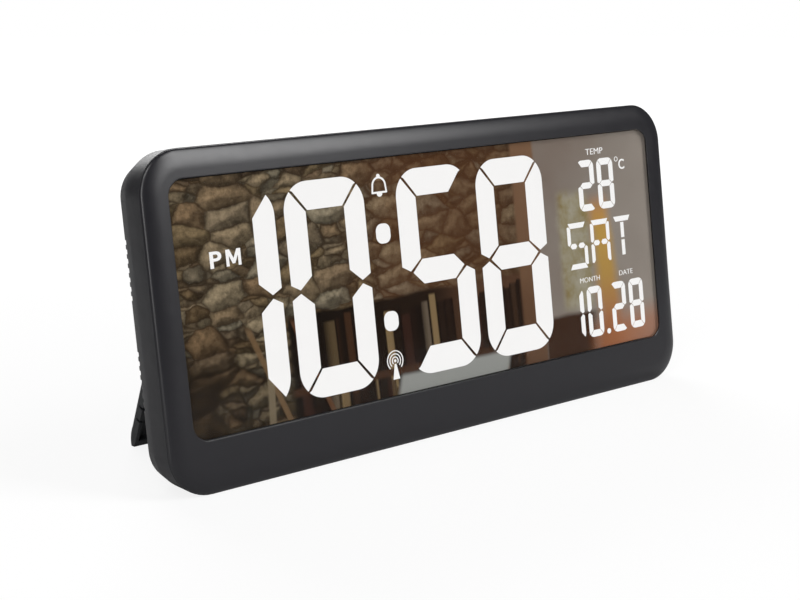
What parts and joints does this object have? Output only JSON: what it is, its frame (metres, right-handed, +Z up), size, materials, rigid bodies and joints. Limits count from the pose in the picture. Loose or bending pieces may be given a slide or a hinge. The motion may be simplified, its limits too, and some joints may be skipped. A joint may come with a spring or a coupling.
{
  "type": "large-digit day clock",
  "caption": "Wide day clock with one large lit display behind a mirror-finish window in a rounded plastic case, standing on fold-out legs at the back.",
  "frame": {"origin": "on the table, under the middle of the whole clock's width and depth as it stands", "axes": "+X to the right as the clock is read, along its width; -Y towards the reader; +Z up"},
  "size_m": [0.372, 0.0962, 0.1683],
  "materials": {
    "case_front": "fine satin grain",
    "case_back": "fine grain",
    "window_clear": "polished clear",
    "tape": "matt",
    "mirror_film": "dark half-mirror",
    "lit_white": "even white glow",
    "panel_glass": "polished",
    "polariser": "smooth film",
    "white_sheet": "matt white film",
    "guide_clear": "polished clear",
    "strip_white": "white lacquer",
    "led_yellow": "phosphor window",
    "carrier_white": "moulded white",
    "zebra_rubber": "fine stripes",
    "board_green": "solder mask",
    "chip_black": "moulded",
    "crystal_can": "drawn can",
    "capacitor_sleeve": "shrink sleeve",
    "switch_black": "moulded",
    "switch_steel": "stamped",
    "knob_black": "moulded",
    "inlet_steel": "drawn shell",
    "ferrite": "sintered",
    "copper_wire": "enamelled copper",
    "sounder_black": "moulded",
    "sensor_bead": "epoxy bead",
    "cell_wrap": "printed sleeve",
    "contact_nickel": "nickel plate",
    "screw_steel": "zinc plate",
    "pin_steel": "ground",
    "key_plastic": "fine grain",
    "leg_plastic": "fine grain"
  },
  "bodies": {
    "clock_case": {"front_bezel": "case_front", "rear_cover": "case_back", "front_window": "window_clear", "window_tape": "tape", "mirror_film": "mirror_film", "time_digits": "lit_white", "time_colon": "lit_white", "temperature_digits": "lit_white", "weekday_letters": "lit_white", "date_digits": "lit_white", "display_labels": "lit_white", "alarm_icon": "lit_white", "signal_icon": "lit_white", "lcd_front_glass": "panel_glass", "lcd_rear_glass": "panel_glass", "rear_polariser": "polariser", "diffuser_sheet": "white_sheet", "light_guide": "guide_clear", "reflector_sheet": "white_sheet", "led_strips": "strip_white", "backlight_leds": "led_yellow", "display_carrier": "carrier_white", "zebra_strip": "zebra_rubber", "main_board": "board_green", "display_driver": "chip_black", "clock_chip": "chip_black", "quartz_crystal": "crystal_can", "board_capacitors": "capacitor_sleeve", "key_board": "board_green", "tact_switches": "switch_black", "switch_housing": "switch_steel", "power_inlet": "inlet_steel", "receiver_board": "board_green", "ferrite_rod": "ferrite", "antenna_coil": "copper_wire", "sound_disc": "sounder_black", "temperature_sensor": "sensor_bead", "batteries": "cell_wrap", "battery_plates": "contact_nickel", "battery_springs": "contact_nickel", "case_screws": "screw_steel", "carrier_screws": "screw_steel", "board_screws": "screw_steel", "leg_pins": "pin_steel"},
    "battery_door_body": {"battery_door": "case_back"},
    "brightness_slider_body": {"brightness_slider": "knob_black"},
    "right_leg_body": {"right_leg": "leg_plastic"},
    "left_leg_body": {"left_leg": "leg_plastic"},
    "mode_button_body": {"mode_button": "key_plastic"},
    "set_button_body": {"set_button": "key_plastic"},
    "up_button_body": {"up_button": "key_plastic"},
    "down_button_body": {"down_button": "key_plastic"},
    "alarm_button_body": {"alarm_button": "key_plastic"},
    "light_button_body": {"light_button": "key_plastic"}
  },
  "joints": [
    {"name": "right_leg_fold", "type": "hinge", "parent": "clock_case", "child": "right_leg_body", "pos_m": [0.1352, -0.00491, 0.13679], "axis": [-1, 0, 0], "range_deg": [0, 28]},
    {"name": "left_leg_fold", "type": "hinge", "parent": "clock_case", "child": "left_leg_body", "pos_m": [-0.1352, -0.00491, 0.13679], "axis": [-1, 0, 0], "range_deg": [0, 28]},
    {"name": "battery_door_lift", "type": "slide", "parent": "clock_case", "child": "battery_door_body", "axis": [0, 0.9898, -0.1426], "range_m": [0, 0.03]},
    {"name": "brightness_slide", "type": "slide", "parent": "clock_case", "child": "brightness_slider_body", "axis": [1, 0, 0], "range_m": [0, 0.003]},
    {"name": "mode_button_press", "type": "slide", "parent": "clock_case", "child": "mode_button_body", "axis": [0, -0.9898, 0.1426], "range_m": [0, 0.0008], "stiffness_N_per_m": 800, "springref_m": -0.002},
    {"name": "set_button_press", "type": "slide", "parent": "clock_case", "child": "set_button_body", "axis": [0, -0.9898, 0.1426], "range_m": [0, 0.0008], "stiffness_N_per_m": 800, "springref_m": -0.002},
    {"name": "up_button_press", "type": "slide", "parent": "clock_case", "child": "up_button_body", "axis": [0, -0.9898, 0.1426], "range_m": [0, 0.0008], "stiffness_N_per_m": 800, "springref_m": -0.002},
    {"name": "down_button_press", "type": "slide", "parent": "clock_case", "child": "down_button_body", "axis": [0, -0.9898, 0.1426], "range_m": [0, 0.0008], "stiffness_N_per_m": 800, "springref_m": -0.002},
    {"name": "alarm_button_press", "type": "slide", "parent": "clock_case", "child": "alarm_button_body", "axis": [0, -0.9898, 0.1426], "range_m": [0, 0.0008], "stiffness_N_per_m": 800, "springref_m": -0.002},
    {"name": "light_button_press", "type": "slide", "parent": "clock_case", "child": "light_button_body", "axis": [0, -0.9898, 0.1426], "range_m": [0, 0.0008], "stiffness_N_per_m": 800, "springref_m": -0.002}
  ]
}
